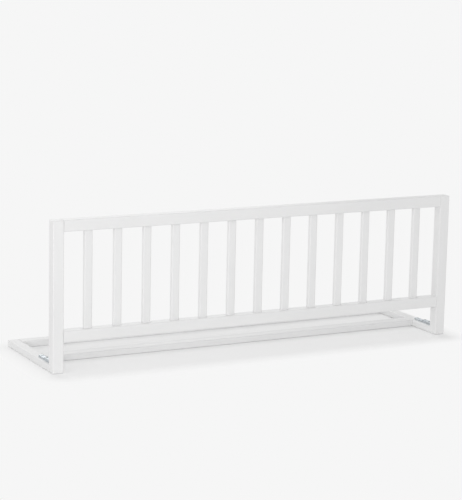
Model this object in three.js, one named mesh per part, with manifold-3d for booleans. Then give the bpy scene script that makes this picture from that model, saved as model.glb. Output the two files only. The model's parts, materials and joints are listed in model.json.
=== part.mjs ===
// Folding bed guard rail: a slatted guard hinged to a flat base frame that lies under a mattress.
// Millimetres. +X runs along the guard, +Y runs back under the mattress and +Z is up.
// The origin is on the ground, at the centre of the whole footprint.

import * as THREE from "three";
import { mergeVertices } from "three/addons/utils/BufferGeometryUtils.js";
import Module from "manifold-3d";

const wasm = await Module();
wasm.setup();

// Guard: two posts, two rails between them and a row of slats
const guardLength = 1200;
const guardHeight = 400;
const postWidth = 30;
const postDepth = 30;
const railDepth = 30;
const topRailHeight = 30;
const bottomRailHeight = 30;
const bottomRailGround = 81;
const slatCount = 13;
const slatWidth = 23;
const slatThickness = 12;
const slatPocketDepth = 10;

// Base frame: two side rails behind the posts and two bars between them
const baseDepth = 328;
const baseThickness = 18;
const sideRailWidth = 30;
const frontBarWidth = 38;
const backBarWidth = 30;
const frontBarOffset = 90;

// Rounded edges of the wood
const woodEdgeRadius = 2.5;
const woodEndRadius = 2;
const slatEdgeRadius = 3.5;

// Clearances
const fitGap = 0.3;
const stopGap = 0.3;
const foldGap = 0.3;
const cutOverrun = 2;

// Dowels
const dowelDiameter = 8;
const dowelLength = 40;
const dowelChamfer = 1;
const guardDowelPitch = 14;
const baseDowelPitch = 14;

// Hinge body on the side rail
const hingeWidth = 12;
const hingeLength = 97;
const hingeEndMargin = 14;
const hingeStrapHeight = 5;
const hingeHeadLength = 52;
const hingeShoulder = 5;
const hingeEdgeRadius = 1;
const hingeScrewFirst = 25;
const hingeScrewSecond = 47;

// Pivot, measured from the post's back and from the side rail's top
const pivotOffset = 4.2;
const pivotRise = 4;
const pinDiameter = 4;
const pinHeadDiameter = 6.4;
const pinHeadHeight = 1.6;

// Hinge leaf on the post
const leafWidth = 16;
const leafLength = 52;
const leafThickness = 2.5;
const leafCornerRadius = 2.5;
const leafScrewMargin = 9;
const lugWidth = 6;
const lugRise = 7.5;

// Wood screws with flat heads
const screwHeadDiameter = 7;
const screwHeadHeight = 2;
const screwRimHeight = 0.5;
const screwDiameter = 3.5;
const screwLength = 20;
const screwTipLength = 4;
const screwRecessSpan = 3.6;
const screwRecessWidth = 0.9;
const screwRecessDepth = 1.4;

// Fineness of the round forms
const edgeSteps = 2;
const roundSides = 12;
const pinSides = 16;

// Sizes that follow from the ones above
const postCentreX = (guardLength - postWidth) / 2;
const railLength = guardLength - 2 * postWidth;
const topRailGround = guardHeight - topRailHeight;
const slatOpening = topRailGround - bottomRailGround - bottomRailHeight;
const slatGap = (railLength - slatCount * slatWidth) / (slatCount + 1);
const slatPitch = slatGap + slatWidth;
const sideRailLength = baseDepth - postDepth - stopGap;
const barLength = guardLength - 2 * sideRailWidth;
const sideRailCentreX = (guardLength - sideRailWidth) / 2;
const pivotHeight = baseThickness + pivotRise;
const hingeHeadHeight = pivotRise + pivotOffset - foldGap;
const noseRadius = pivotOffset - foldGap;
const slotWidth = lugWidth + 2 * fitGap;
const slotReach = Math.hypot(pivotOffset, lugRise) + 2 * fitGap;
const knuckleRadius = pivotRise - fitGap;
const leafGround = pivotHeight - knuckleRadius - leafCornerRadius;
const hingeSeatDepth = hingeHeadHeight - hingeStrapHeight;

// The hinge body's last screw stands near its rear end, in front of the front bar's dowels
const hingeScrewPlaces = [hingeScrewFirst, hingeScrewSecond, hingeLength - hingeEndMargin];

// The leaf's screws stand the same margin above its lug and below its upper end
const lugTop = pivotHeight + lugRise - leafGround;
const leafScrewPlaces = [lugTop + leafScrewMargin, leafLength - leafScrewMargin];

// Places of the two bars' centres along the side rail, from the side rail's front end
const barCentres = [
  frontBarOffset - stopGap + frontBarWidth / 2,
  sideRailLength - backBarWidth / 2,
];

// Materials
const lacquer = { color: 0xe9e9e8, roughness: 0.42, metalness: 0 };
const rawWood = { color: 0xd9b98a, roughness: 0.75, metalness: 0 };
const zinc = { color: 0xa3abb3, roughness: 0.36, metalness: 1 };
const darkSteel = { color: 0x6c7278, roughness: 0.42, metalness: 1 };

// Solid from a closed geometry, with its corners merged.
// The flat triangles at a turned form's tips are left out.
function solidOf(geometry) {
  const bare = new THREE.BufferGeometry();
  bare.setAttribute("position", geometry.getAttribute("position").clone());
  if (geometry.index) bare.setIndex(geometry.index.clone());
  const merged = mergeVertices(bare);
  const vertProperties = new Float32Array(merged.getAttribute("position").array);
  const corners = Array.from(merged.index.array);
  const kept = [];
  for (let i = 0; i < corners.length; i += 3) {
    const [a, b, c] = corners.slice(i, i + 3);
    if (a !== b && b !== c && c !== a) kept.push(a, b, c);
  }
  const triVerts = new Uint32Array(kept);
  return new wasm.Manifold(new wasm.Mesh({ numProp: 3, vertProperties, triVerts }));
}

function geometryOf(solid) {
  const mesh = solid.getMesh();
  const geometry = new THREE.BufferGeometry();
  const places = new Float32Array(mesh.vertProperties);
  geometry.setAttribute("position", new THREE.BufferAttribute(places, mesh.numProp));
  geometry.setIndex(new THREE.BufferAttribute(new Uint32Array(mesh.triVerts), 1));
  return geometry;
}

// The geometry with each of the cutters taken out of it
function cut(geometry, cutters) {
  const start = solidOf(geometry);
  const result = cutters.reduce((solid, cutter) => solid.subtract(solidOf(cutter)), start);
  return geometryOf(result);
}

function join(geometry, other) {
  return geometryOf(solidOf(geometry).add(solidOf(other)));
}

// Mesh with a name and a material of its own
function piece(name, geometry, finish) {
  const faceted = geometry.index ? geometry.toNonIndexed() : geometry;
  faceted.computeVertexNormals();
  const mesh = new THREE.Mesh(faceted, new THREE.MeshStandardMaterial(finish));
  mesh.name = name;
  return mesh;
}

function roundedRectangle(width, height, radius) {
  const x = width / 2;
  const y = height / 2;
  const shape = new THREE.Shape();
  shape.moveTo(radius - x, -y);
  shape.lineTo(x - radius, -y);
  shape.absarc(x - radius, radius - y, radius, -Math.PI / 2, 0);
  shape.lineTo(x, y - radius);
  shape.absarc(x - radius, y - radius, radius, 0, Math.PI / 2);
  shape.lineTo(radius - x, y);
  shape.absarc(radius - x, y - radius, radius, Math.PI / 2, Math.PI);
  shape.lineTo(-x, radius - y);
  shape.absarc(radius - x, radius - y, radius, Math.PI, Math.PI * 3 / 2);
  return shape;
}

// Bar along Z, centred on the origin, with rounded long edges and, where asked, rounded ends
function bar(width, height, length, radius, endRadius) {
  const shape = roundedRectangle(width, height, radius);
  const geometry = new THREE.ExtrudeGeometry(shape, {
    depth: length - 2 * endRadius,
    curveSegments: edgeSteps,
    bevelEnabled: endRadius > 0,
    bevelThickness: endRadius,
    bevelSize: endRadius,
    bevelOffset: -endRadius,
    bevelSegments: edgeSteps,
  });
  geometry.translate(0, 0, endRadius - length / 2);
  return geometry;
}

// Round cutter along Z that starts at the origin
function drill(diameter, depth, sides = roundSides) {
  const geometry = new THREE.CylinderGeometry(diameter / 2, diameter / 2, depth, sides);
  geometry.rotateX(Math.PI / 2);
  geometry.translate(0, 0, depth / 2);
  return geometry;
}

function turned(outline, sides) {
  const points = outline.map(([radius, height]) => new THREE.Vector2(radius, height));
  const geometry = new THREE.LatheGeometry(points, sides);
  geometry.rotateX(Math.PI / 2);
  return geometry;
}

// Dowel along Z, centred on the origin
function dowel() {
  const radius = dowelDiameter / 2;
  const half = dowelLength / 2;
  return turned([
    [0, -half],
    [radius - dowelChamfer, -half],
    [radius, dowelChamfer - half],
    [radius, half - dowelChamfer],
    [radius - dowelChamfer, half],
    [0, half],
  ], roundSides);
}

// Hole for one half of a dowel, from a face at the origin into the wood along Z
function dowelHole() {
  const geometry = drill(dowelDiameter + 2 * fitGap, dowelLength / 2 + fitGap + cutOverrun);
  geometry.translate(0, 0, -cutOverrun);
  return geometry;
}

// Wood screw that points down Z, with the top of its head at the origin
function screw() {
  const headRadius = screwHeadDiameter / 2;
  const radius = screwDiameter / 2;
  const body = turned([
    [0, -screwLength],
    [radius, screwTipLength - screwLength],
    [radius, -screwHeadHeight - screwRimHeight],
    [headRadius, -screwRimHeight],
    [headRadius, 0],
    [0, 0],
  ], roundSides);
  const recess = [0, Math.PI / 2].map((turn) => {
    const blade = new THREE.BoxGeometry(screwRecessSpan, screwRecessWidth, 2 * screwRecessDepth);
    blade.rotateZ(turn);
    return blade;
  });
  return cut(body, recess);
}

// Space that a screw needs, with a straight bore above its head
function screwHole(boreAbove) {
  const headRadius = screwHeadDiameter / 2 + fitGap;
  const radius = screwDiameter / 2 + fitGap;
  return turned([
    [0, -screwLength - fitGap],
    [radius, screwTipLength - screwLength - fitGap],
    [radius, -screwHeadHeight - screwRimHeight - fitGap],
    [headRadius, -screwRimHeight - fitGap],
    [headRadius, boreAbove + cutOverrun],
    [0, boreAbove + cutOverrun],
  ], roundSides);
}

// Distances of the dowels in one joint from the joint's centre
function dowelOffsets(pitch) {
  return [-pitch / 2, pitch / 2];
}

function slatCentres() {
  const first = slatGap + slatWidth / 2 - railLength / 2;
  return Array.from({ length: slatCount }, (_, index) => first + index * slatPitch);
}

// Post, centred on the origin, with its inner face on the side that inward names, 1 or -1 along X
function post(inward) {
  const geometry = bar(postWidth, postDepth, guardHeight, woodEdgeRadius, woodEndRadius);
  const railCentres = [
    bottomRailGround + bottomRailHeight / 2 - guardHeight / 2,
    topRailGround + topRailHeight / 2 - guardHeight / 2,
  ];
  const cutters = [];
  for (const railCentre of railCentres) {
    for (const offset of dowelOffsets(guardDowelPitch)) {
      const hole = dowelHole();
      hole.rotateY(-inward * Math.PI / 2);
      hole.translate(inward * postWidth / 2, 0, railCentre + offset);
      cutters.push(hole);
    }
  }
  const pocket = bar(
    leafWidth + 2 * fitGap,
    leafLength + 2 * fitGap,
    leafThickness + fitGap + cutOverrun,
    leafCornerRadius + fitGap,
    0,
  );
  pocket.rotateX(-Math.PI / 2);
  pocket.translate(
    0,
    (postDepth - leafThickness - fitGap + cutOverrun) / 2,
    leafGround + (leafLength - guardHeight) / 2,
  );
  cutters.push(pocket);
  for (const height of leafScrewPlaces) {
    const hole = screwHole(0);
    hole.rotateX(-Math.PI / 2);
    hole.translate(0, postDepth / 2, leafGround + height - guardHeight / 2);
    cutters.push(hole);
  }
  return cut(geometry, cutters);
}

// Rail along X, centred on the origin, with dowel holes in its ends and pockets in its upper or lower face
function rail(height, pocketSide) {
  const geometry = bar(railDepth, height, railLength, woodEdgeRadius, 0);
  geometry.rotateY(Math.PI / 2);
  geometry.rotateX(Math.PI / 2);
  const cutters = slatCentres().map((centre) => {
    const depth = slatPocketDepth + fitGap + cutOverrun;
    const pocket = new THREE.BoxGeometry(slatWidth + 2 * fitGap, slatThickness + 2 * fitGap, depth);
    pocket.translate(centre, 0, pocketSide * (height / 2 + cutOverrun - depth / 2));
    return pocket;
  });
  for (const end of [-1, 1]) {
    for (const offset of dowelOffsets(guardDowelPitch)) {
      const hole = dowelHole();
      hole.rotateY(-end * Math.PI / 2);
      hole.translate(end * railLength / 2, 0, offset);
      cutters.push(hole);
    }
  }
  return cut(geometry, cutters);
}

// Slat along Z, centred on the origin, with both ends standing in the rails' pockets
function slat() {
  return bar(slatWidth, slatThickness, slatOpening + 2 * slatPocketDepth, slatEdgeRadius, 0);
}

// Side rail along Y from its front end at the origin, lying on the ground
function sideRail(inward) {
  const geometry = bar(sideRailWidth, baseThickness, sideRailLength, woodEdgeRadius, woodEndRadius);
  geometry.rotateX(-Math.PI / 2);
  geometry.translate(0, sideRailLength / 2, baseThickness / 2);
  const cutters = [];
  for (const centre of barCentres) {
    for (const offset of dowelOffsets(baseDowelPitch)) {
      const hole = dowelHole();
      hole.rotateY(-inward * Math.PI / 2);
      hole.translate(inward * sideRailWidth / 2, centre + offset, baseThickness / 2);
      cutters.push(hole);
    }
  }
  for (const place of hingeScrewPlaces) {
    const hole = screwHole(0);
    hole.translate(0, place - stopGap, baseThickness + hingeStrapHeight);
    cutters.push(hole);
  }
  return cut(geometry, cutters);
}

// Bar of the base frame along X, centred on the origin
function baseBar(width) {
  const geometry = bar(baseThickness, width, barLength, woodEdgeRadius, 0);
  geometry.rotateY(Math.PI / 2);
  const cutters = [];
  for (const end of [-1, 1]) {
    for (const offset of dowelOffsets(baseDowelPitch)) {
      const hole = dowelHole();
      hole.rotateY(-end * Math.PI / 2);
      hole.translate(end * barLength / 2, offset, 0);
      cutters.push(hole);
    }
  }
  return cut(geometry, cutters);
}

// Side view of the hinge body: a low strap with a raised head, whose nose is round about the pivot
function hingeSideShape() {
  const shape = new THREE.Shape();
  shape.moveTo(pivotOffset - noseRadius, 0);
  shape.lineTo(hingeLength, 0);
  shape.lineTo(hingeLength, hingeStrapHeight - hingeEdgeRadius);
  shape.lineTo(hingeLength - hingeEdgeRadius, hingeStrapHeight);
  shape.lineTo(hingeHeadLength + hingeShoulder, hingeStrapHeight);
  shape.lineTo(hingeHeadLength, hingeHeadHeight);
  shape.lineTo(pivotOffset, hingeHeadHeight);
  shape.absarc(pivotOffset, pivotRise, noseRadius, Math.PI / 2, Math.PI);
  return shape;
}

// Plan of the hinge body: straight sides and a round rear end
function hingePlanShape() {
  const half = hingeWidth / 2;
  const shape = new THREE.Shape();
  shape.moveTo(-half, -cutOverrun);
  shape.lineTo(half, -cutOverrun);
  shape.lineTo(half, hingeLength - half);
  shape.absarc(0, hingeLength - half, half, 0, Math.PI);
  return shape;
}

function crossDrill(diameter, width, sides) {
  const geometry = drill(diameter, width, sides);
  geometry.translate(0, 0, -width / 2);
  geometry.rotateY(Math.PI / 2);
  return geometry;
}

// Hinge body on the side rail: Y is measured from the post's back and Z from the rail's top
function hingeBody() {
  const side = new THREE.ExtrudeGeometry(hingeSideShape(), {
    depth: hingeWidth,
    curveSegments: roundSides / 2,
    bevelEnabled: false,
  });
  side.translate(0, 0, -hingeWidth / 2);
  side.rotateX(Math.PI / 2);
  side.rotateZ(Math.PI / 2);
  const plan = new THREE.ExtrudeGeometry(hingePlanShape(), {
    depth: hingeHeadHeight + 2 * cutOverrun,
    curveSegments: roundSides,
    bevelEnabled: false,
  });
  plan.translate(0, 0, -cutOverrun);
  const body = geometryOf(solidOf(side).intersect(solidOf(plan)));
  const slotLength = pivotOffset + slotReach;
  const slotHeight = hingeHeadHeight + 2 * cutOverrun;
  const slot = new THREE.BoxGeometry(slotWidth, slotLength, slotHeight);
  slot.translate(0, slotLength / 2, slotHeight / 2 - cutOverrun);
  const bore = crossDrill(pinDiameter + 2 * fitGap, hingeWidth + 2 * cutOverrun, pinSides);
  bore.translate(0, pivotOffset, pivotRise);
  const screwHoles = hingeScrewPlaces.map((place) => {
    const hole = screwHole(hingeSeatDepth);
    hole.translate(0, place, hingeStrapHeight);
    return hole;
  });
  return cut(body, [slot, bore, ...screwHoles]);
}

// Pivot pin along X with a flat round head at each end, centred on the pivot
function pivotPin() {
  const radius = pinDiameter / 2;
  const headRadius = pinHeadDiameter / 2;
  const inner = hingeWidth / 2 + fitGap;
  const outer = inner + pinHeadHeight;
  const geometry = turned([
    [0, -outer],
    [headRadius - pinHeadHeight / 2, -outer],
    [headRadius, pinHeadHeight / 2 - outer],
    [headRadius, -inner],
    [radius, -inner],
    [radius, inner],
    [headRadius, inner],
    [headRadius, outer - pinHeadHeight / 2],
    [headRadius - pinHeadHeight / 2, outer],
    [0, outer],
  ], pinSides);
  geometry.rotateY(Math.PI / 2);
  return geometry;
}

// Side view of the lug that reaches from the leaf to the pivot: Y from the post's back, Z from the pivot
function lugShape() {
  const shape = new THREE.Shape();
  shape.moveTo(-leafThickness / 2, -knuckleRadius);
  shape.lineTo(pivotOffset, -knuckleRadius);
  shape.absarc(pivotOffset, 0, knuckleRadius, -Math.PI / 2, Math.PI / 4);
  shape.lineTo(0, lugRise);
  shape.lineTo(-leafThickness / 2, lugRise);
  return shape;
}

// Leaf let into the post's back, with the lug: Y is measured from the post's back and Z from the ground
function hingeLeaf() {
  const plate = bar(leafWidth, leafLength, leafThickness, leafCornerRadius, 0);
  plate.rotateX(-Math.PI / 2);
  plate.translate(0, -leafThickness / 2, leafGround + leafLength / 2);
  const lug = new THREE.ExtrudeGeometry(lugShape(), {
    depth: lugWidth,
    curveSegments: roundSides / 2,
    bevelEnabled: false,
  });
  lug.translate(0, 0, -lugWidth / 2);
  lug.rotateX(Math.PI / 2);
  lug.rotateZ(Math.PI / 2);
  lug.translate(0, 0, pivotHeight);
  const bore = crossDrill(pinDiameter + 2 * fitGap, lugWidth + 2 * cutOverrun, pinSides);
  bore.translate(0, pivotOffset, pivotHeight);
  const screwHoles = leafScrewPlaces.map((height) => {
    const hole = screwHole(0);
    hole.rotateX(-Math.PI / 2);
    hole.translate(0, 0, leafGround + height);
    return hole;
  });
  return cut(join(plate, lug), [bore, ...screwHoles]);
}

// Guard group, with its origin on the ground between the posts
function buildGuard() {
  const group = new THREE.Group();
  for (const [name, side] of [["left", -1], ["right", 1]]) {
    const mesh = piece(`${name}_post`, post(-side), lacquer);
    mesh.position.set(side * postCentreX, 0, guardHeight / 2);
    group.add(mesh);
  }
  const rails = [
    ["bottom_rail", bottomRailHeight, bottomRailGround, 1],
    ["top_rail", topRailHeight, topRailGround, -1],
  ];
  for (const [name, height, ground, pocketSide] of rails) {
    const mesh = piece(name, rail(height, pocketSide), lacquer);
    mesh.position.z = ground + height / 2;
    group.add(mesh);
    for (const [sideName, side] of [["left", -1], ["right", 1]]) {
      dowelOffsets(guardDowelPitch).forEach((offset, index) => {
        const pin = piece(`${name}_${sideName}_dowel_${index + 1}`, dowel(), rawWood);
        pin.rotation.y = Math.PI / 2;
        pin.position.set(side * railLength / 2, 0, ground + height / 2 + offset);
        group.add(pin);
      });
    }
  }
  slatCentres().forEach((centre, index) => {
    const mesh = piece(`slat_${String(index + 1).padStart(2, "0")}`, slat(), lacquer);
    mesh.position.set(centre, 0, bottomRailGround + bottomRailHeight + slatOpening / 2);
    group.add(mesh);
  });
  return group;
}

// Base frame group, with its origin on the ground at the front ends of the side rails
function buildBase() {
  const group = new THREE.Group();
  for (const [name, side] of [["left", -1], ["right", 1]]) {
    const mesh = piece(`${name}_side_rail`, sideRail(-side), lacquer);
    mesh.position.x = side * sideRailCentreX;
    group.add(mesh);
  }
  const bars = [
    ["front_bar", frontBarWidth, barCentres[0]],
    ["back_bar", backBarWidth, barCentres[1]],
  ];
  for (const [name, width, centre] of bars) {
    const mesh = piece(name, baseBar(width), lacquer);
    mesh.position.set(0, centre, baseThickness / 2);
    group.add(mesh);
    for (const [sideName, side] of [["left", -1], ["right", 1]]) {
      dowelOffsets(baseDowelPitch).forEach((offset, index) => {
        const pin = piece(`${name}_${sideName}_dowel_${index + 1}`, dowel(), rawWood);
        pin.rotation.y = Math.PI / 2;
        pin.position.set(side * barLength / 2, centre + offset, baseThickness / 2);
        group.add(pin);
      });
    }
  }
  return group;
}

// One hinge, with its origin on the ground at the post's back
function buildHinge(name) {
  const group = new THREE.Group();
  const body = piece(`${name}_hinge_body`, hingeBody(), zinc);
  body.position.z = baseThickness;
  const leaf = piece(`${name}_hinge_leaf`, hingeLeaf(), zinc);
  const pin = piece(`${name}_hinge_pin`, pivotPin(), darkSteel);
  pin.position.set(0, pivotOffset, pivotHeight);
  group.add(body, leaf, pin);
  hingeScrewPlaces.forEach((place, index) => {
    const mesh = piece(`${name}_hinge_body_screw_${index + 1}`, screw(), darkSteel);
    mesh.position.set(0, place, baseThickness + hingeStrapHeight);
    group.add(mesh);
  });
  leafScrewPlaces.forEach((height, index) => {
    const mesh = piece(`${name}_hinge_leaf_screw_${index + 1}`, screw(), darkSteel);
    mesh.rotation.x = -Math.PI / 2;
    mesh.position.set(0, 0, leafGround + height);
    group.add(mesh);
  });
  return group;
}

// The whole guard rail, set so that its footprint is centred on the origin
const assembly = new THREE.Group();
const guard = buildGuard();
guard.position.y = (postDepth - baseDepth) / 2;
const base = buildBase();
base.position.y = postDepth + stopGap - baseDepth / 2;
assembly.add(guard, base);
for (const [name, side] of [["left", -1], ["right", 1]]) {
  const hinge = buildHinge(name);
  hinge.position.set(side * sideRailCentreX, postDepth - baseDepth / 2, 0);
  assembly.add(hinge);
}

export default assembly;
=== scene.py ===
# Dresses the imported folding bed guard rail: white lacquered wood, a flat base frame, two zinc plated hinges
import json
import math

import bmesh
import bpy
from mathutils import Matrix, Vector


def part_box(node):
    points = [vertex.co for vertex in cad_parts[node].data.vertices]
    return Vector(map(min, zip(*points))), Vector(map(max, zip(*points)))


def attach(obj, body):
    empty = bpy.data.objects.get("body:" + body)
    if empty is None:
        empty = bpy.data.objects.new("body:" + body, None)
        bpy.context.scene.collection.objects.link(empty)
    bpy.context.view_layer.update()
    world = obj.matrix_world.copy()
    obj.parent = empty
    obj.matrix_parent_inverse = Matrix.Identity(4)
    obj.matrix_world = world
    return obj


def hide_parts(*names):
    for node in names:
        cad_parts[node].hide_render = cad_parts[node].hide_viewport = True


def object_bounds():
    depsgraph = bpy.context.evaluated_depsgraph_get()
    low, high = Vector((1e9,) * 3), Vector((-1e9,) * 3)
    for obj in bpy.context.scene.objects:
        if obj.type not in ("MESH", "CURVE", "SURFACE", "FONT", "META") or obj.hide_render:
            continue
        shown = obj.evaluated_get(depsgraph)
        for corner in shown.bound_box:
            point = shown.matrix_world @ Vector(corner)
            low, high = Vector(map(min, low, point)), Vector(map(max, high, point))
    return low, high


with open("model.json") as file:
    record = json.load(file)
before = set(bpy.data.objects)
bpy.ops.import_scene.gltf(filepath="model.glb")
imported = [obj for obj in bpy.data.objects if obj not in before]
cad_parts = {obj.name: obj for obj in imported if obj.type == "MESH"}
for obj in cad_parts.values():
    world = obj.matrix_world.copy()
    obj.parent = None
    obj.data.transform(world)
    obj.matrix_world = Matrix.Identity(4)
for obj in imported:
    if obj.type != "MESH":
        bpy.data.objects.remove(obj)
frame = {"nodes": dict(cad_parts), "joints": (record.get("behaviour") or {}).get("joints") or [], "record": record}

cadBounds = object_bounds()
mm = 0.001     # sizes in the dictionaries are millimetres, apart from the studio's and the camera's place
record = frame["record"]
bodyOf = {node: body for body, nodes in record["behaviour"]["bodies"].items() for node in nodes}
slotOf = {row["node"]: row["material_slot"] for row in record["subparts"]}
pivot = Vector(frame["joints"][0]["pos_m"])
sides = ("left", "right")
xAxis, yAxis, zAxis = 0, 1, 2
print("frame loaded with", len(frame["nodes"]), "nodes")


def nodesWith(*words):
    return [node for node in frame["nodes"] if all(word in node for word in words)]


# Material helpers

mixFactor, mixBelow, mixAbove, mixResult = 0, 6, 7, 2     # sockets of a Mix node set to colour


def linearColour(hexValue):
    channels = [int(hexValue[i:i + 2], 16) / 255 for i in (1, 3, 5)]
    return [c / 12.92 if c <= 0.04045 else ((c + 0.055) / 1.055) ** 2.4 for c in channels] + [1.0]


def addNode(tree, kind, settings, links=None):
    node = tree.nodes.new(kind)
    for name, value in settings.items():
        if isinstance(name, str) and hasattr(node, name):
            setattr(node, name, value)
        else:
            node.inputs[name].default_value = value
    for name, socket in (links or {}).items():
        tree.links.new(socket, node.inputs[name])
    return node


def newMaterial(name):
    material = bpy.data.materials.new(name)
    material.use_nodes = True
    material.node_tree.nodes.clear()
    return material, material.node_tree


def piecePatterns(tree, patterns):
    # One noise for each pattern, its cells so many millimetres along, across and through the piece.
    # Every piece carries "grain", its own place from its centre with the length first, in metres. It moves
    # along for each piece, so that no two pieces show the same stretch of a pattern.
    place = addNode(tree, "ShaderNodeAttribute", {"attribute_name": "grain"})
    noises = {}
    for name, pattern in patterns.items():
        scaled = addNode(tree, "ShaderNodeVectorMath",
                         {"operation": "MULTIPLY", 1: [1 / (width * mm) for width in pattern["cell"]]},
                         {0: place.outputs["Vector"]})
        noise = addNode(tree, "ShaderNodeTexNoise",
                        {"Scale": 1.0, "Detail": pattern["detail"], "Roughness": pattern["roughness"]},
                        {"Vector": scaled.outputs[0]})
        noises[name] = noise.outputs[0]
    return noises


def layeredColour(tree, noises, look):
    # Each layer covers those below it where its noise rises through a range, up to its strength
    colour = None
    for layer in look["layers"]:
        cover = addNode(tree, "ShaderNodeMapRange",
                        {"From Min": layer["rise"][0], "From Max": layer["rise"][1],
                         "To Max": layer["strength"]},
                        {"Value": noises[layer["pattern"]]})
        settings = {"data_type": "RGBA", mixAbove: linearColour(layer["colour"])}
        links = {mixFactor: cover.outputs["Result"]}
        if colour is None:
            settings[mixBelow] = linearColour(look["base"])
        else:
            links[mixBelow] = colour
        colour = addNode(tree, "ShaderNodeMix", settings, links).outputs[mixResult]
    return colour


def platedMetal(name, look, roughPattern, bumpPattern):
    # Plated steel, whose roughness follows one pattern and whose relief follows another
    material, tree = newMaterial(name)
    noises = piecePatterns(tree, look["patterns"])
    rough = addNode(tree, "ShaderNodeMapRange",
                    {"From Min": look["roughRise"][0], "From Max": look["roughRise"][1],
                     "To Min": look["roughness"][0], "To Max": look["roughness"][1]},
                    {"Value": noises[roughPattern]})
    bump = addNode(tree, "ShaderNodeBump",
                   {"Strength": look["bumpStrength"], "Distance": look["bumpDepth"] * mm},
                   {"Height": noises[bumpPattern]})
    surface = addNode(tree, "ShaderNodeBsdfPrincipled", {"Metallic": 1.0},
                      {"Base Color": layeredColour(tree, noises, look), "Roughness": rough.outputs["Result"],
                       "Normal": bump.outputs[0]})
    addNode(tree, "ShaderNodeOutputMaterial", {}, {"Surface": surface.outputs[0]})
    return material


# White satin lacquer, sprayed on solid beech and sanded between coats. The eye gets a calm, even white with a
# soft sheen, a trace of long grain under the film, a fine orange peel, and arrises where the film runs thin.

lacquer = {
    "base": "#EAEAEA",
    "thinFilm": "#E2E2E2",
    # Real pores are 0.3 mm wide, and are drawn coarser so that they show
    "patterns": {
        "clouds": {"cell": (260, 60, 60), "detail": 3.0, "roughness": 0.5},
        "pores": {"cell": (42, 1.4, 1.4), "detail": 4.0, "roughness": 0.62},
        "peel": {"cell": (3.2, 3.2, 3.2), "detail": 2.0, "roughness": 0.5},
        "rubs": {"cell": (34, 7, 7), "detail": 3.0, "roughness": 0.6},
    },
    "layers": (
        {"pattern": "clouds", "colour": "#E6E6E6", "rise": (0.35, 0.7), "strength": 0.8},
        {"pattern": "pores", "colour": "#E6E6E6", "rise": (0.6, 0.78), "strength": 0.5},
    ),
    "thinRise": (0.4, 0.75),
    "thinStrength": (0.1, 0.75),
    "bumpStrength": 0.5,
    "poreDepth": 0.02,
    "peelDepth": 0.01,
    "roughRise": (0.3, 0.7),
    "roughness": (0.38, 0.46),
    "ior": 1.5,
}


def lacqueredBeech():
    material, tree = newMaterial("satinLacqueredBeech")
    noises = piecePatterns(tree, lacquer["patterns"])
    rubs = addNode(tree, "ShaderNodeMapRange",
                   {"From Min": lacquer["thinRise"][0], "From Max": lacquer["thinRise"][1],
                    "To Min": lacquer["thinStrength"][0], "To Max": lacquer["thinStrength"][1]},
                   {"Value": noises["rubs"]})
    rim = addNode(tree, "ShaderNodeAttribute", {"attribute_name": "rim"})
    thinness = addNode(tree, "ShaderNodeMath", {"operation": "MULTIPLY"},
                       {0: rim.outputs["Fac"], 1: rubs.outputs["Result"]})
    colour = addNode(tree, "ShaderNodeMix",
                     {"data_type": "RGBA", mixAbove: linearColour(lacquer["thinFilm"])},
                     {mixFactor: thinness.outputs[0], mixBelow: layeredColour(tree, noises, lacquer)})
    poreBump = addNode(tree, "ShaderNodeBump",
                       {"Strength": lacquer["bumpStrength"], "Distance": lacquer["poreDepth"] * mm},
                       {"Height": noises["pores"]})
    peelBump = addNode(tree, "ShaderNodeBump",
                       {"Strength": lacquer["bumpStrength"], "Distance": lacquer["peelDepth"] * mm},
                       {"Height": noises["peel"], "Normal": poreBump.outputs[0]})
    sheen = addNode(tree, "ShaderNodeMapRange",
                    {"From Min": lacquer["roughRise"][0], "From Max": lacquer["roughRise"][1],
                     "To Min": lacquer["roughness"][0], "To Max": lacquer["roughness"][1]},
                    {"Value": noises["rubs"]})
    surface = addNode(tree, "ShaderNodeBsdfPrincipled", {"IOR": lacquer["ior"]},
                      {"Base Color": colour.outputs[mixResult], "Roughness": sheen.outputs["Result"],
                       "Normal": peelBump.outputs[0]})
    addNode(tree, "ShaderNodeOutputMaterial", {}, {"Surface": surface.outputs[0]})
    return material


# Bare turned beech. The eye gets a dull pinkish tan with short dark flecks along the length.

beech = {
    "base": "#D8B78C",
    "patterns": {
        "bands": {"cell": (30, 2.2, 2.2), "detail": 4.0, "roughness": 0.6},
        "flecks": {"cell": (2.4, 0.35, 0.35), "detail": 2.0, "roughness": 0.5},
    },
    "layers": (
        {"pattern": "bands", "colour": "#B98F63", "rise": (0.35, 0.65), "strength": 1.0},
        {"pattern": "flecks", "colour": "#8C6542", "rise": (0.62, 0.72), "strength": 0.7},
    ),
    "bumpStrength": 0.6,
    "fleckDepth": 0.05,
    "roughness": 0.72,
    "ior": 1.52,
}


def turnedBeech():
    material, tree = newMaterial("turnedBeech")
    noises = piecePatterns(tree, beech["patterns"])
    bump = addNode(tree, "ShaderNodeBump",
                   {"Strength": beech["bumpStrength"], "Distance": beech["fleckDepth"] * mm},
                   {"Height": noises["flecks"]})
    surface = addNode(tree, "ShaderNodeBsdfPrincipled",
                      {"IOR": beech["ior"], "Roughness": beech["roughness"]},
                      {"Base Color": layeredColour(tree, noises, beech), "Normal": bump.outputs[0]})
    addNode(tree, "ShaderNodeOutputMaterial", {}, {"Surface": surface.outputs[0]})
    return material


# Bright zinc plate on rolled steel. The eye gets a cool blue grey metal with fine lines along the strip and
# cloudy patches where the plating is duller.

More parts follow.
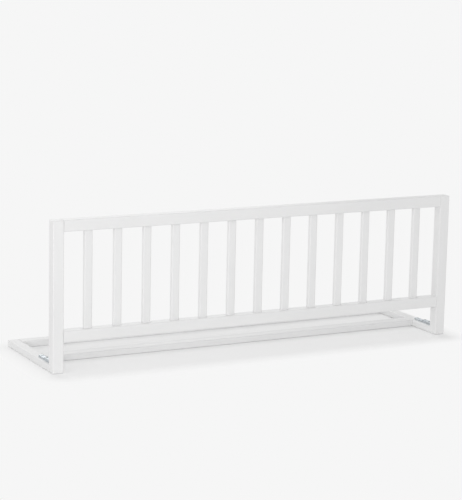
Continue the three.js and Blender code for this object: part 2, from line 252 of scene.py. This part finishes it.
zinc = {
    "base": "#D3D8DC",
    # Real rolling lines are finer, and are drawn coarser so that they show
    "patterns": {
        "patches": {"cell": (9, 5, 5), "detail": 4.0, "roughness": 0.6},
        "smears": {"cell": (16, 8, 8), "detail": 2.0, "roughness": 0.5},
        "lines": {"cell": (26, 0.3, 0.3), "detail": 3.0, "roughness": 0.6},
    },
    "layers": (
        {"pattern": "patches", "colour": "#BAC0C5", "rise": (0.35, 0.65), "strength": 1.0},
        {"pattern": "smears", "colour": "#C6CAC6", "rise": (0.5, 0.8), "strength": 0.7},
    ),
    "bumpStrength": 0.5,
    "bumpDepth": 0.02,
    "roughRise": (0.3, 0.7),
    "roughness": (0.32, 0.48),
}

# Cold headed steel under a thin dark zinc. The eye gets screws and pins a shade darker than the hinge, with a
# fine grain and brighter spots where a driver has rubbed.

darkSteel = {
    "base": "#8B9196",
    "patterns": {
        "spots": {"cell": (2.2, 2.2, 2.2), "detail": 3.0, "roughness": 0.6},
        "grain": {"cell": (0.5, 0.5, 0.5), "detail": 2.0, "roughness": 0.5},
    },
    "layers": (
        {"pattern": "spots", "colour": "#B4B9BD", "rise": (0.5, 0.7), "strength": 0.8},
    ),
    "bumpStrength": 0.5,
    "bumpDepth": 0.01,
    "roughRise": (0.3, 0.7),
    "roughness": (0.3, 0.5),
}

materials = {
    "white_lacquer": lacqueredBeech(),
    "raw_beech": turnedBeech(),
    "zinc_plate": platedMetal("brightZincPlatedSteel", zinc, "patches", "lines"),
    "screw_steel": platedMetal("coldHeadedSteel", darkSteel, "spots", "grain"),
}
print("materials made:", ", ".join(material.name for material in materials.values()))


# Mesh helpers

meshing = {
    "leastRadiusShare": 0.05,     # of a bar's edge radius, kept where the bar draws in at its ends
    "sharpAngle": 38,             # degrees: steeper creases stay sharp
    "patternStep": 0.731,         # metres between the pieces' places in a pattern
}


def longAxis(size):
    return max(range(3), key=lambda axis: size[axis])


def along(axis, across, up, forward):
    # A point given across, up and along a piece, turned so that the piece runs along the frame's axis
    point = Vector((0, 0, 0))
    point[(axis + 1) % 3], point[(axis + 2) % 3], point[axis] = across, up, forward
    return point


def joinRows(shape, rows):
    # Faces between each closed row of vertices and the next
    count = len(rows[0])
    for low, high in zip(rows, rows[1:]):
        for i in range(count):
            j = (i + 1) % count
            shape.faces.new((low[i], low[j], high[j], high[i]))


def skinned(rings):
    # Skin over rings of points with the same count, with flat ends
    shape = bmesh.new()
    rows = [[shape.verts.new(point) for point in ring] for ring in rings]
    joinRows(shape, rows)
    shape.faces.new(rows[0][::-1])
    shape.faces.new(rows[-1])
    return shape


def roundedOutline(width, height, radius, steps):
    points = []
    for corner, (x, y) in enumerate(((1, 1), (-1, 1), (-1, -1), (1, -1))):
        for step in range(steps + 1):
            angle = math.pi / 2 * (corner + step / steps)
            points.append((x * (width / 2 - radius) + radius * math.cos(angle),
                           y * (height / 2 - radius) + radius * math.sin(angle)))
    return points


def roundedBar(low, high, axis, edgeRadius, endRadius, steps):
    # Bar that fills a box along one axis, its long edges and its ends rounded, sizes in metres
    centre, size = (low + high) / 2, high - low
    width, height, half = size[(axis + 1) % 3], size[(axis + 2) % 3], size[axis] / 2
    stations = []
    for step in range(steps + 1):
        angle = math.pi / 2 * step / steps
        stations.append((endRadius * (1 - math.cos(angle)) - half, endRadius * (1 - math.sin(angle))))
    stations += [(-place, inset) for place, inset in reversed(stations)]
    rings = []
    for place, inset in stations:
        radius = max(edgeRadius - inset, edgeRadius * meshing["leastRadiusShare"])
        outline = roundedOutline(width - 2 * inset, height - 2 * inset, radius, steps)
        rings.append([centre + along(axis, x, y, place) for x, y in outline])
    return skinned(rings)


def turnedBody(centre, axis, profile, count, ripple=None):
    # Turned form from rows of radius and place along the axis. ripple changes a radius by angle and place
    rings = []
    for radius, place in profile:
        ring = []
        for i in range(count):
            angle = 2 * math.pi * i / count
            reach = ripple(radius, angle, place) if ripple else radius
            ring.append(centre + along(axis, reach * math.cos(angle), reach * math.sin(angle), place))
        rings.append(ring)
    return skinned(rings)


def newObject(name, shape):
    bmesh.ops.recalc_face_normals(shape, faces=shape.faces)
    mesh = bpy.data.meshes.new(name)
    shape.to_mesh(mesh)
    shape.free()
    piece = bpy.data.objects.new(name, mesh)
    bpy.context.scene.collection.objects.link(piece)
    return piece


def merged(shapes):
    whole = bmesh.new()
    for shape in shapes:
        bmesh.ops.recalc_face_normals(shape, faces=shape.faces)
        mesh = bpy.data.meshes.new("part")
        shape.to_mesh(mesh)
        shape.free()
        whole.from_mesh(mesh)
        bpy.data.meshes.remove(mesh)
    return whole


def carve(piece, shapes, operation="DIFFERENCE"):
    # The shapes in one call don't touch each other
    tool = newObject("tool", merged(shapes))
    boolean = piece.modifiers.new("carve", "BOOLEAN")
    boolean.operation = operation
    boolean.solver = "EXACT"
    boolean.object = tool
    depsgraph = bpy.context.evaluated_depsgraph_get()
    carved = bpy.data.meshes.new_from_object(piece.evaluated_get(depsgraph))
    piece.modifiers.clear()
    piece.data = carved
    bpy.data.objects.remove(tool)


dressedNodes = []


def dress(piece, node, edgeRadius=0.0, endRadius=0.0):
    # Stores the pattern's coordinates and the arrises, sets the shading, and lets the piece stand for its node
    dressedNodes.append(node)
    low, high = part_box(node)
    centre, size = (low + high) / 2, high - low
    axis = longAxis(size)
    order = (axis, (axis + 1) % 3, (axis + 2) % 3)
    mesh = piece.data
    offset = len(dressedNodes) * meshing["patternStep"]
    radii = [endRadius if k == axis else edgeRadius for k in range(3)]
    grain, rim = [], []
    for vertex in mesh.vertices:
        local = vertex.co - centre
        grain += [local[k] + offset for k in order]
        inside = [max(0.0, abs(local[k]) - size[k] / 2 + radii[k]) for k in range(3)]
        # The second largest is 0 on a flat face, and grows to the radius times sin 45 degrees amid an arris
        rim.append(min(1.0, sorted(inside)[1] / edgeRadius / math.sqrt(0.5)) if edgeRadius else 0.0)
    mesh.attributes.new("grain", "FLOAT_VECTOR", "POINT").data.foreach_set("vector", grain)
    mesh.attributes.new("rim", "FLOAT", "POINT").data.foreach_set("value", rim)
    mesh.shade_smooth()
    mesh.set_sharp_from_angle(angle=math.radians(meshing["sharpAngle"]))
    weighted = piece.modifiers.new("weighted", "WEIGHTED_NORMAL")
    weighted.keep_sharp = True
    mesh.materials.clear()
    mesh.materials.append(materials[slotOf[node]])
    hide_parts(node)
    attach(piece, bodyOf[node])


# Pins, screws and dowels as the pieces around them meet them, with the room that bores and seats leave

fastenings = {
    "dowelGap": 0.15,
    "pinWidth": 4.0,
    "pinGap": 0.15,
    "shankWidth": 3.5,
    "shankGap": 0.2,
    "headWidth": 7.0,
    "headRim": 0.35,
    "headCone": 2.0,
    "headGap": 0.18,
    "mouthFlare": 0.35,
    "boreSides": 24,
    "pinSides": 32,
    "seatSides": 36,
    "cutterEnd": 0.05,     # radius at the ends of a cutter with square ends
    "overrun": 1.0,        # how far a cutter reaches past the face that it opens
}


def bore(node, gap, radius=None):
    # Round bore with a gap all round a peg that fills its node's box, or has a radius of its own
    low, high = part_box(node)
    size = high - low
    axis = longAxis(size)
    reach, half = (radius or sorted(size)[0] / 2) + gap, size[axis] / 2 + gap
    return turnedBody((low + high) / 2, axis, [(reach, -half), (reach, half)], fastenings["boreSides"])


def dowelBores(*words):
    return [bore(node, fastenings["dowelGap"] * mm) for node in nodesWith("dowel", *words)]


def screwBores(*words):
    return [bore(node, fastenings["shankGap"] * mm, fastenings["shankWidth"] / 2 * mm)
            for node in nodesWith("screw", *words)]


def pinBore(centreX, half):
    radius = (fastenings["pinWidth"] / 2 + fastenings["pinGap"]) * mm
    return turnedBody(Vector((centreX, pivot.y, pivot.z)), xAxis, [(radius, -half), (radius, half)],
                      fastenings["pinSides"])


def screwSeat(centre, axis, bottom, mouth):
    # Room for a screw: from the bottom a shank's bore, then a cone, a straight rim and a flared mouth
    gap, flare = fastenings["headGap"], fastenings["mouthFlare"]
    shank = fastenings["shankWidth"] / 2 + fastenings["shankGap"]
    rim = fastenings["headWidth"] / 2 + gap
    rimFoot = -fastenings["headRim"] - gap
    profile = [(shank, bottom), (shank, rimFoot - fastenings["headCone"]), (rim, rimFoot),
               (rim, mouth - flare), (rim + flare, mouth), (rim + flare, mouth + fastenings["overrun"])]
    return turnedBody(centre, axis, [(radius * mm, place * mm) for radius, place in profile],
                      fastenings["seatSides"])


def woodenBar(node, look, cuts=()):
    # Lacquered bar that fills its node's box, with each group of cuts taken out in turn
    low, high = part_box(node)
    axis, edge, end = longAxis(high - low), look["edgeRadius"] * mm, look["endRadius"] * mm
    bar = newObject(node + "_lacquered", roundedBar(low, high, axis, edge, end, look["steps"]))
    for shapes in cuts:
        carve(bar, shapes)
    dress(bar, node, edge, end)


# Posts: square stiles with softened long edges, each with a flush pocket for the hinge leaf at its foot

posts = {
    "edgeRadius": 2.5,
    "endRadius": 2.0,
    "steps": 6,
    "pocketGap": 0.2,
}
leafPlate = {
    "thickness": 2.5,
    "cornerRadius": 2.5,
    "edgeRadius": 0.4,
    "steps": 6,
}
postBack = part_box("left_post")[1].y


def leafPocket(side):
    low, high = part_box(side + "_hinge_leaf")
    gap = posts["pocketGap"] * mm
    return roundedBar(Vector((low.x - gap, postBack - leafPlate["thickness"] * mm - gap, low.z - gap)),
                      Vector((high.x + gap, postBack + fastenings["overrun"] * mm, high.z + gap)), yAxis,
                      leafPlate["cornerRadius"] * mm + gap, fastenings["cutterEnd"] * mm, leafPlate["steps"])


for side in sides:
    woodenBar(side + "_post", posts, [[leafPocket(side)], screwBores(side, "leaf"), dowelBores("rail", side)])
print("posts made")

# Rails between the posts, with a mortise for every slat

rails = {
    "edgeRadius": 2.5,
    "endRadius": 0.25,
    "steps": 6,
    "mortiseGap": 0.2,
    "mortiseCorner": 0.4,
    "mortiseSteps": 2,
}
slatNodes = sorted(nodesWith("slat_"))


def mortise(slat):
    low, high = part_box(slat)
    gap = rails["mortiseGap"] * mm
    room = Vector((gap, gap, gap))
    return roundedBar(low - room, high + room, longAxis(high - low), rails["mortiseCorner"] * mm,
                      fastenings["cutterEnd"] * mm, rails["mortiseSteps"])


for node in ("top_rail", "bottom_rail"):
    woodenBar(node, rails, [[mortise(slat) for slat in slatNodes], dowelBores(node)])
print("rails made")

# Slats: flat staves with eased edges, their ends in the mortises

slats = {
    "edgeRadius": 3.5,
    "endRadius": 0.6,
    "steps": 5,
}
for node in slatNodes:
    woodenBar(node, slats)
print("slats made:", len(slatNodes))

# Base frame: two side rails and two bars, flat boards with eased edges

sideRails = {
    "edgeRadius": 2.5,
    "endRadius": 2.0,
    "steps": 6,
}
baseBars = {
    "front_bar": {"edgeRadius": 2.5, "endRadius": 0.25, "steps": 6},
    "back_bar": {"edgeRadius": 1.0, "endRadius": 0.25, "steps": 6},     # its foot shows as a fainter line
}
for side in sides:
    woodenBar(side + "_side_rail", sideRails, [dowelBores("bar", side), screwBores(side, "body")])
for node, look in baseBars.items():
    woodenBar(node, look, [dowelBores(node)])
print("base frame made")

# Dowels: fluted pegs with chamfered ends, hidden in the joints

dowels = {
    "chamfer": 1.0,
    "fluteCount": 16,
    "fluteDepth": 0.25,
    "pointsPerFlute": 4,
}


def flute(radius, angle, place):
    wave = 0.5 + 0.5 * math.cos(angle * dowels["fluteCount"])
    return radius - dowels["fluteDepth"] * mm * wave ** 2


for node in sorted(nodesWith("dowel")):
    low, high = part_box(node)
    size = high - low
    axis = longAxis(size)
    radius, half, chamfer = sorted(size)[0] / 2, size[axis] / 2, dowels["chamfer"] * mm
    profile = [(radius - chamfer, -half), (radius, chamfer - half),
               (radius, half - chamfer), (radius - chamfer, half)]
    pointsAround = dowels["fluteCount"] * dowels["pointsPerFlute"]
    peg = newObject(node + "_beech", turnedBody((low + high) / 2, axis, profile, pointsAround, flute))
    dress(peg, node)
print("dowels made")

# Hinge bodies: a low strap with a raised head, round at the rear, slotted at the pivot for the leaf's lug

hingeBody = {
    "topRadius": 0.9,
    "cornerRadius": 1.0,
    "noseGap": 0.3,
    "headLength": 52.0,
    "shoulderLength": 5.0,
    "slotWidth": 6.6,
    "slotReach": 9.2,        # from the pivot, where the lug's corner swings through
    "slotCorner": 0.5,
    "slotSteps": 3,
    "edgeSteps": 6,
    "noseSteps": 6,
    "headSteps": 3,
    "shoulderSteps": 8,
    "rearSteps": 10,
    "weldDistance": 0.001,
}
# In millimetres: from the post's back to the pivot, and from the side rail's top to the strap's
pivotSetback = (pivot.y - postBack) / mm
strapHeight = (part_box("left_hinge_body_screw_1")[1].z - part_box("left_hinge_body")[0].z) / mm


def hingeHeight(place, headHeight):
    # Height of the body's top at a place behind the post's back, in millimetres
    nose = pivotSetback - hingeBody["noseGap"]
    if place < pivotSetback:
        drop = min(nose, pivotSetback - place)
        return headHeight - nose + math.sqrt(nose ** 2 - drop ** 2)
    share = min(1.0, max(0.0, (place - hingeBody["headLength"]) / hingeBody["shoulderLength"]))
    smooth = share * share * (3 - 2 * share)
    return headHeight + (strapHeight - headHeight) * smooth


def hingeStations(half, length):
    # Half of the plan from the nose to the rear tip: half width, place, and the outward direction there
    corner, start, steps = hingeBody["cornerRadius"], hingeBody["noseGap"], hingeBody["edgeSteps"]
    stations = []
    for step in range(steps + 1):
        angle = math.pi / 2 * step / steps
        stations.append((half - corner + corner * math.sin(angle), start + corner - corner * math.cos(angle),
                         math.sin(angle), -math.cos(angle)))
    head = hingeBody["headLength"]
    turns = (start + corner, pivotSetback, head, head + hingeBody["shoulderLength"])
    for first, last, name in zip(turns, turns[1:], ("noseSteps", "headSteps", "shoulderSteps")):
        for step in range(1, hingeBody[name] + 1):
            stations.append((half, first + (last - first) * step / hingeBody[name], 1.0, 0.0))
    for step in range(hingeBody["rearSteps"] + 1):
        angle = math.pi / 2 * step / hingeBody["rearSteps"]
        stations.append((half * math.cos(angle), length - half + half * math.sin(angle),
                         math.cos(angle), math.sin(angle)))
    return stations


def hingeBodyShape(low, high):
    # Rows of the plan from the foot up, the last ones drawn in for the rounded top edge
    centreX, headHeight = (low.x + high.x) / 2, (high.z - low.z) / mm
    stations = hingeStations((high.x - low.x) / 2 / mm, (high.y - postBack) / mm)
    top, steps = hingeBody["topRadius"], hingeBody["edgeSteps"]
    shape = bmesh.new()
    rows = []
    for level in range(-1, steps + 1):
        angle = math.pi / 2 * max(0, level) / steps
        inset, drop = top * (1 - math.cos(angle)), top * (1 - math.sin(angle))
        left, right = [], []
        for width, place, outX, outY in stations:
            x = max(0.0, width - outX * inset)
            y = place - outY * inset
            z = 0.0 if level < 0 else hingeHeight(y, headHeight) - drop
            left.append(Vector((centreX - x * mm, postBack + y * mm, low.z + z * mm)))
            right.append(Vector((centreX + x * mm, postBack + y * mm, low.z + z * mm)))
        rows.append([shape.verts.new(point) for point in right + left[::-1]])
    joinRows(shape, rows)
    last = len(rows[0]) - 1
    for row in (rows[0], rows[-1]):
        for i in range(last // 2):
            shape.faces.new((row[i], row[i + 1], row[last - 1 - i], row[last - i]))
    bmesh.ops.remove_doubles(shape, verts=shape.verts, dist=hingeBody["weldDistance"] * mm)
    return shape


def lugSlot(centreX, low, high):
    half, reach = hingeBody["slotWidth"] / 2 * mm, hingeBody["slotReach"] * mm
    overrun = fastenings["overrun"] * mm
    return roundedBar(Vector((centreX - half, postBack - overrun, low.z - overrun)),
                      Vector((centreX + half, pivot.y + reach, high.z + overrun)), zAxis,
                      hingeBody["slotCorner"] * mm, fastenings["cutterEnd"] * mm, hingeBody["slotSteps"])


for side in sides:
    node = side + "_hinge_body"
    low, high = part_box(node)
    centreX, headHeight = (low.x + high.x) / 2, (high.z - low.z) / mm
    body = newObject(node + "_zinc", hingeBodyShape(low, high))
    carve(body, [lugSlot(centreX, low, high)])
    carve(body, [pinBore(centreX, (high.x - low.x) / 2 + fastenings["overrun"] * mm)])
    seats = []
    for screw in nodesWith(side, "body_screw"):
        screwLow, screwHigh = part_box(screw)
        centre = Vector((centreX, (screwLow.y + screwHigh.y) / 2, screwHigh.z))
        depth = (screwHigh.z - low.z) / mm
        mouth = hingeHeight((centre.y - postBack) / mm, headHeight) - depth
        seats.append(screwSeat(centre, zAxis, -depth - fastenings["overrun"], mouth))
    carve(body, seats)
    dress(body, node)
print("hinge bodies made")

# Hinge leaves: a plate let into the post's back with a lug that turns on the pin

lug = {
    "width": 6.0,
    "rise": 7.5,                # of the lug's root above the pivot
    "rootReach": 0.6,           # behind the post's back, near the top of the root
    "rootDrop": 0.2,
    "knuckleRadius": 3.7,
    "knuckleQuarters": 1.5,     # quarter turns from the foot, round the rear, to the slope up to the root
    "ease": 0.45,
    "easeShare": 0.3,           # of the ease, where its rounding has a middle row
    "steps": 8,
}


def lugShape(centreX):
    # Side outline of the lug about the pivot, thickened along X, its edges eased
    knuckle, steps, root = lug["knuckleRadius"], lug["steps"], -leafPlate["thickness"] / 2
    outline = [(root, -knuckle), (pivotSetback, -knuckle)]
    for step in range(1, int(lug["knuckleQuarters"] * steps) + 1):
        angle = -math.pi / 2 + math.pi / 2 * step / steps
        outline.append((pivotSetback + knuckle * math.cos(angle), knuckle * math.sin(angle)))
    outline += [(lug["rootReach"], lug["rise"] - lug["rootDrop"]), (0.0, lug["rise"]), (root, lug["rise"])]
    half, ease, part = lug["width"] / 2, lug["ease"], lug["ease"] * lug["easeShare"]
    middle = Vector((pivotSetback / 2, 0))
    rings = []
    for x, inset in ((-half, ease), (-half + part, part), (-half + ease, 0.0),
                     (half - ease, 0.0), (half - part, part), (half, ease)):
        ring = []
        for y, z in outline:
            eased = Vector((y, z)) - (Vector((y, z)) - middle).normalized() * inset
            ring.append(Vector((centreX + x * mm, postBack + eased.x * mm, pivot.z + eased.y * mm)))
        rings.append(ring)
    return skinned(rings)


for side in sides:
    node = side + "_hinge_leaf"
    low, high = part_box(node)
    centreX = (low.x + high.x) / 2
    plate = roundedBar(low, Vector((high.x, postBack, high.z)), yAxis, leafPlate["cornerRadius"] * mm,
                       leafPlate["edgeRadius"] * mm, leafPlate["steps"])
    leaf = newObject(node + "_zinc", plate)
    carve(leaf, [lugShape(centreX)], "UNION")
    carve(leaf, [pinBore(centreX, lug["width"] * mm)])
    seats = []
    for screw in nodesWith(side, "leaf_screw"):
        screwLow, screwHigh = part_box(screw)
        centre = Vector((centreX, screwHigh.y, (screwLow.z + screwHigh.z) / 2))
        seats.append(screwSeat(centre, yAxis, -leafPlate["thickness"] - fastenings["overrun"], 0.0))
    carve(leaf, seats)
    dress(leaf, node)
print("hinge leaves made")

# Pivot pins: a plain shank with a domed head set at each end

pins = {
    "headHeight": 1.6,
    "domeShare": 0.8,       # of the head's height, above a straight rim
    "domeTurn": 0.93,       # of a quarter turn, so that the dome ends in a small flat
    "domeSteps": 6,
    "pointsAround": 36,
}
for side in sides:
    node = side + "_hinge_pin"
    low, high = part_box(node)
    half, headRadius = (high.x - low.x) / 2, (high.z - low.z) / 2
    shank, head = fastenings["pinWidth"] / 2 * mm, pins["headHeight"] * mm
    dome, lastAngle = head * pins["domeShare"], math.pi / 2 * pins["domeTurn"]
    profile = [(shank, half - head), (headRadius, half - head), (headRadius, half - dome)]
    for step in range(1, pins["domeSteps"] + 1):
        angle = lastAngle * step / pins["domeSteps"]
        profile.append((headRadius * math.cos(angle),
                        half - dome + dome * math.sin(angle) / math.sin(lastAngle)))
    profile = [(radius, -place) for radius, place in reversed(profile)] + profile
    pin = newObject(node + "_steel", turnedBody((low + high) / 2, xAxis, profile, pins["pointsAround"]))
    dress(pin, node)
print("hinge pins made")

# Wood screws: countersunk heads with a cross recess, a plain neck and a rolled thread

screws = {
    "rimEase": 0.15,        # of the head's upper edge, inwards
    "rimDrop": 0.12,        # and downwards
    "neck": 6.0,            # from the head's top to the thread
    "coreWidth": 2.5,
    "threadPitch": 1.6,
    "crestShare": 0.5,      # of a turn, taken by the crest
    "taper": 4.0,
    "taperShare": 0.12,     # of the shank, kept beside the tip
    "tipGap": 0.35,         # between the thread's last ring and the tip
    "tipRadius": 0.1,
    "ringsPerTurn": 7,
    "pointsAround": 24,
}
crossRecess = {
    "span": 3.8,
    "width": 0.95,
    "depth": 1.3,
    "footShare": 0.35,      # of the span and the width, at the foot
    "mouthShare": 1.1,
    "mouthHeight": 0.4,
}


def thread(radius, angle, place):
    # The crest follows a helix. The head, the neck and the flat tip stay plain
    if place >= -screws["neck"] * mm or radius <= screws["tipRadius"] * mm:
        return radius
    turn = (place / mm / screws["threadPitch"] + angle / (2 * math.pi)) % 1.0
    crest = max(0.0, 1 - abs(turn - 0.5) / (screws["crestShare"] / 2))
    core = screws["coreWidth"] / fastenings["shankWidth"]
    return radius * (core + (1 - core) * crest)


def crossBlades(centre, axis):
    # Two crossed blades that narrow towards the foot of the recess
    span, width = crossRecess["span"] / 2 * mm, crossRecess["width"] / 2 * mm
    blades = []
    for across, up in ((span, width), (width, span)):
        rings = []
        for place, share in ((-crossRecess["depth"], crossRecess["footShare"]),
                             (crossRecess["mouthHeight"], crossRecess["mouthShare"])):
            x, y = across * share, up * share
            rings.append([centre + along(axis, *corner, place * mm)
                          for corner in ((x, y), (-x, y), (-x, -y), (x, -y))])
        blades.append(skinned(rings))
    return blades


for node in sorted(nodesWith("screw")):
    low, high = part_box(node)
    axis = longAxis(high - low)
    centre = (low + high) / 2
    centre[axis] = high[axis]
    length, headRadius = high[axis] - low[axis], sorted(high - low)[0] / 2
    shank = fastenings["shankWidth"] / 2 * mm
    rim, cone = fastenings["headRim"] * mm, fastenings["headCone"] * mm
    neck, taper, tipGap = (screws[key] * mm for key in ("neck", "taper", "tipGap"))
    profile = [(headRadius - screws["rimEase"] * mm, 0.0), (headRadius, -screws["rimDrop"] * mm),
               (headRadius, -rim), (shank, -rim - cone), (shank, -neck)]
    ringStep = screws["threadPitch"] / screws["ringsPerTurn"] * mm
    place = -neck - ringStep
    while place > tipGap - length:
        share = min(1.0, (length + place) / taper)
        profile.append((shank * max(screws["taperShare"], share), place))
        place -= ringStep
    profile.append((screws["tipRadius"] * mm, -length))
    screw = newObject(node + "_steel", turnedBody(centre, axis, profile, screws["pointsAround"], thread))
    for blade in crossBlades(centre, axis):
        carve(screw, [blade])
    dress(screw, node)
print("screws made")

# Floor and studio, in metres and watts: one pale ground that runs on into a backdrop of the same tone

studio = {
    "backdrop": "#F6F6F6",
    "floor": "#FAFAFA",
    "sky": "#FFFFFF",
    "skyStrength": 0.7,
    "floorHalf": 60.0,
    "floorDrop": 0.0002,
    "fadeShift": -0.02,     # along Y, because the shadows lie towards the front
    "fadeInset": 0.025,     # the fade starts under the side rails
    "fadeWidth": 0.085,
    "lampAim": (0.0, 0.0, 0.1),
    "lamps": {
        "frontSoftbox": {"place": (-1.32, -2.29, 1.28), "size": (0.9, 0.6), "power": 7.8},
        "leftSoftbox": {"place": (-3.6, -1.6, 1.5), "size": (2.0, 1.6), "power": 5.0},
        "lowFrontStrip": {"place": (-2.48, -4.29, 0.8), "size": (1.6, 0.6), "power": 22.0},
        "lowLeftStrip": {"place": (-4.29, -2.48, 0.8), "size": (1.6, 0.6), "power": 17.0},
        "backSoftbox": {"place": (0.4, 2.4, 1.8), "size": (2.2, 1.2), "power": 15.0},
    },
}


def seenRays(tree):
    # 1 for rays that show the backdrop: straight from the camera, or by way of metal or something clear
    rays = addNode(tree, "ShaderNodeLightPath", {})
    glossyToo = addNode(tree, "ShaderNodeMath", {"operation": "MAXIMUM"},
                        {0: rays.outputs["Is Camera Ray"], 1: rays.outputs["Is Glossy Ray"]})
    seen = addNode(tree, "ShaderNodeMath", {"operation": "MAXIMUM"},
                   {0: glossyToo.outputs[0], 1: rays.outputs["Is Transmission Ray"]})
    return seen.outputs[0]


def paleFloor():
    # The ground keeps its shadows by the object and turns into the backdrop's tone within a hand's breadth
    material, tree = newMaterial("paleStudioFloor")
    centre = (cadBounds[0] + cadBounds[1]) / 2 + Vector((0.0, studio["fadeShift"], 0.0))
    half = (cadBounds[1] - cadBounds[0]) / 2 - Vector((studio["fadeInset"], 0.0, 0.0))
    place = addNode(tree, "ShaderNodeTexCoord", {})
    fromCentre = addNode(tree, "ShaderNodeVectorMath",
                         {"operation": "SUBTRACT", 1: (centre.x, centre.y, 0.0)},
                         {0: place.outputs["Object"]})
    mirrored = addNode(tree, "ShaderNodeVectorMath", {"operation": "ABSOLUTE"}, {0: fromCentre.outputs[0]})
    beyond = addNode(tree, "ShaderNodeVectorMath", {"operation": "SUBTRACT", 1: (half.x, half.y, 0.0)},
                     {0: mirrored.outputs[0]})
    outside = addNode(tree, "ShaderNodeVectorMath", {"operation": "MAXIMUM"}, {0: beyond.outputs[0]})
    distance = addNode(tree, "ShaderNodeVectorMath", {"operation": "LENGTH"}, {0: outside.outputs[0]})
    far = addNode(tree, "ShaderNodeMapRange",
                  {"interpolation_type": "SMOOTHSTEP", "From Min": 0.0, "From Max": studio["fadeWidth"]},
                  {"Value": distance.outputs["Value"]})
    plain = addNode(tree, "ShaderNodeMath", {"operation": "MULTIPLY"},
                    {0: far.outputs["Result"], 1: seenRays(tree)})
    ground = addNode(tree, "ShaderNodeBsdfDiffuse", {"Color": linearColour(studio["floor"])})
    backdrop = addNode(tree, "ShaderNodeEmission", {"Color": linearColour(studio["backdrop"])})
    surface = addNode(tree, "ShaderNodeMixShader", {},
                      {0: plain.outputs[0], 1: ground.outputs[0], 2: backdrop.outputs[0]})
    addNode(tree, "ShaderNodeOutputMaterial", {}, {"Surface": surface.outputs[0]})
    return material


def paleSky():
    # An even light, behind which the camera, metal and glass see the backdrop
    world = bpy.data.worlds.new("studioWorld")
    world.use_nodes = True
    tree = world.node_tree
    tree.nodes.clear()
    sky = addNode(tree, "ShaderNodeBackground",
                  {"Color": linearColour(studio["sky"]), "Strength": studio["skyStrength"]})
    backdrop = addNode(tree, "ShaderNodeBackground",
                       {"Color": linearColour(studio["backdrop"]), "Strength": 1.0})
    mixed = addNode(tree, "ShaderNodeMixShader", {},
                    {0: seenRays(tree), 1: sky.outputs[0], 2: backdrop.outputs[0]})
    addNode(tree, "ShaderNodeOutputWorld", {}, {"Surface": mixed.outputs[0]})
    return world


shape = bmesh.new()
bmesh.ops.create_grid(shape, x_segments=1, y_segments=1, size=studio["floorHalf"])
floor = newObject("studio_floor", shape)
floor.location.z = -studio["floorDrop"]
floor.data.materials.append(paleFloor())
bpy.context.scene.world = paleSky()
for name, lamp in studio["lamps"].items():
    light = bpy.data.lights.new(name, "AREA")
    light.shape = "RECTANGLE"
    light.size, light.size_y = lamp["size"]
    light.energy = lamp["power"]
    holder = bpy.data.objects.new(name, light)
    bpy.context.scene.collection.objects.link(holder)
    holder.location = lamp["place"]
    holder.rotation_euler = (Vector(studio["lampAim"]) - holder.location).to_track_quat("-Z", "Y").to_euler()
    holder.visible_camera = False
print("studio made")

# Camera at the photograph's viewing angle, for a picture of 462 by 500

cameraSettings = {
    "place": (-2.3344, -4.4824, 1.2144),     # metres
    "yaw": 27.444,                           # degrees, as are pitch and roll
    "pitch": 10.743,
    "roll": 1.229,
    "lens": 133.83,
    "farthest": 200.0,                       # metres, past the floor's far edge
}
camera = bpy.data.objects.new("camera", bpy.data.cameras.new("camera"))
bpy.context.scene.collection.objects.link(camera)
camera.data.lens = cameraSettings["lens"]
camera.data.clip_end = cameraSettings["farthest"]
turn = (Matrix.Rotation(-math.radians(cameraSettings["yaw"]), 4, "Z")
        @ Matrix.Rotation(math.radians(90 - cameraSettings["pitch"]), 4, "X")
        @ Matrix.Rotation(math.radians(cameraSettings["roll"]), 4, "Z"))
camera.matrix_world = Matrix.Translation(cameraSettings["place"]) @ turn
bpy.context.scene.camera = camera
bpy.context.scene.view_settings.view_transform = "Standard"
print("camera made")
